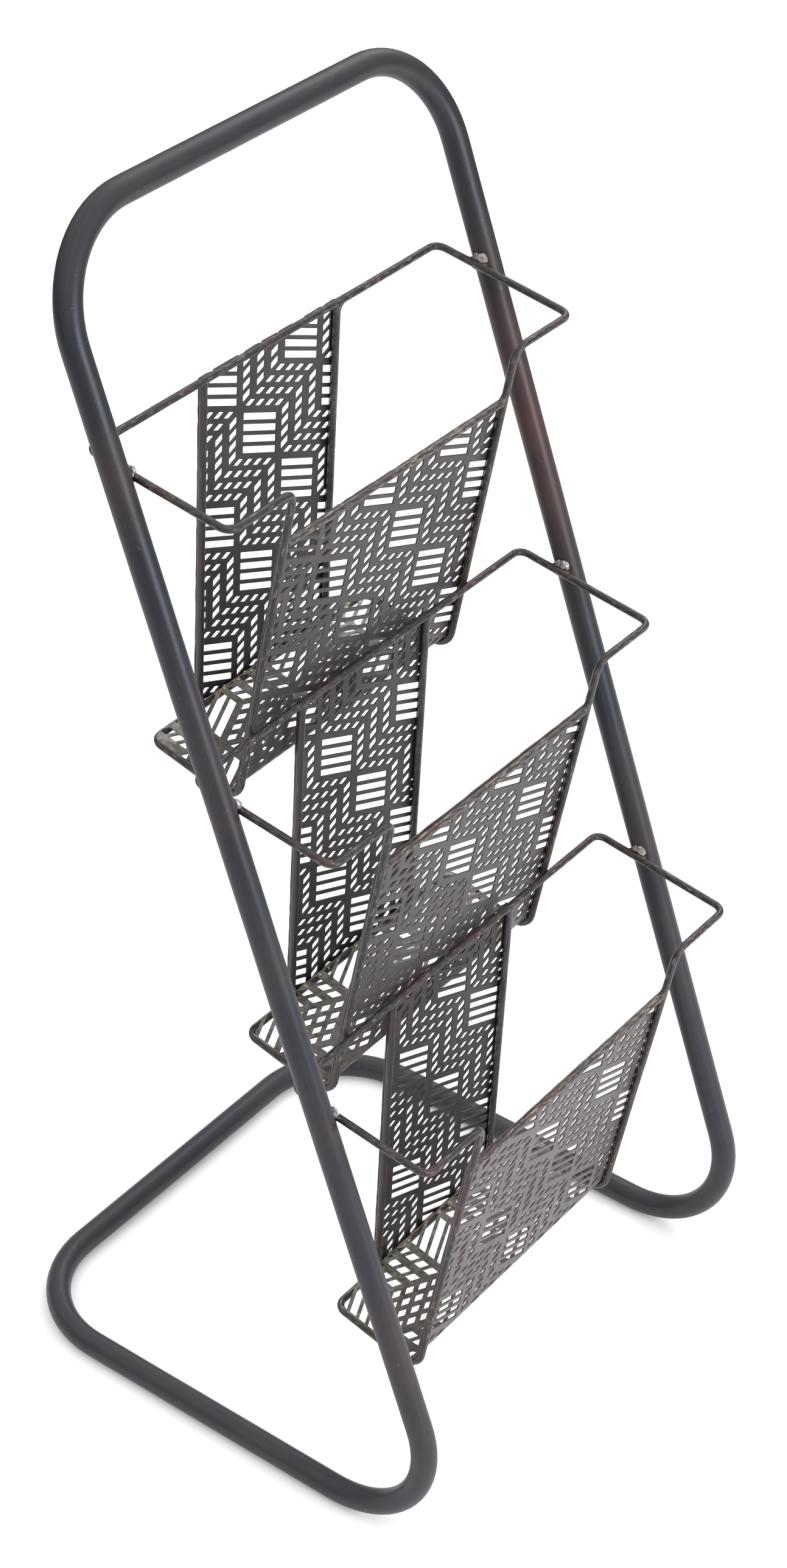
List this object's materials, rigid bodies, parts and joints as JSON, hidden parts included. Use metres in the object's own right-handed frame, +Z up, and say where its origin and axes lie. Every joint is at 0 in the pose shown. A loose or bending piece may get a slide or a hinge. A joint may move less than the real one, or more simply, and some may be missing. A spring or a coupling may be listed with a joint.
{
  "type": "newspaper rack",
  "caption": "Free-standing newspaper rack: a leaning bent-tube frame on a floor loop carries stepped rod baskets with perforated sheet fronts, trays and backs.",
  "frame": {"origin": "on the floor, at the middle of the rack's outline", "axes": "+Z up, +Y to the rear, towards which the uprights lean, +X to the right seen from the front"},
  "size_m": [0.411, 0.4044, 0.9389],
  "materials": {
    "frame_tube": "satin blackened steel tube with faint heat marks",
    "spigot": "plain steel",
    "basket_rod": "blackened steel rod, worn to bare metal along its ridges",
    "cross_rod": "steel rod worn bright in streaks",
    "post": "blackened steel rod",
    "front_sheet": "grey perforated sheet, brown with heat on the tray",
    "back_sheet": "dark perforated sheet",
    "frame_weld": "bright weld bead",
    "rod_weld": "dull weld bead",
    "tack_weld": "golden tack weld"
  },
  "bodies": {
    "root": {"frame_upper_tube": "frame_tube", "frame_floor_tube": "frame_tube", "left_seam_spigot": "spigot", "right_seam_spigot": "spigot", "bottom_basket_rod": "basket_rod", "bottom_basket_cross_rod": "cross_rod", "bottom_basket_left_post": "post", "bottom_basket_right_post": "post", "bottom_basket_front_sheet": "front_sheet", "bottom_basket_back_sheet": "back_sheet", "bottom_basket_frame_welds": "frame_weld", "bottom_basket_rod_welds": "rod_weld", "bottom_basket_tack_welds": "tack_weld", "middle_basket_rod": "basket_rod", "middle_basket_cross_rod": "cross_rod", "middle_basket_left_post": "post", "middle_basket_right_post": "post", "middle_basket_front_sheet": "front_sheet", "middle_basket_back_sheet": "back_sheet", "middle_basket_frame_welds": "frame_weld", "middle_basket_rod_welds": "rod_weld", "middle_basket_tack_welds": "tack_weld", "top_basket_rod": "basket_rod", "top_basket_cross_rod": "cross_rod", "top_basket_left_post": "post", "top_basket_right_post": "post", "top_basket_front_sheet": "front_sheet", "top_basket_back_sheet": "back_sheet", "top_basket_frame_welds": "frame_weld", "top_basket_rod_welds": "rod_weld", "top_basket_tack_welds": "tack_weld"}
  },
  "joints": []
}
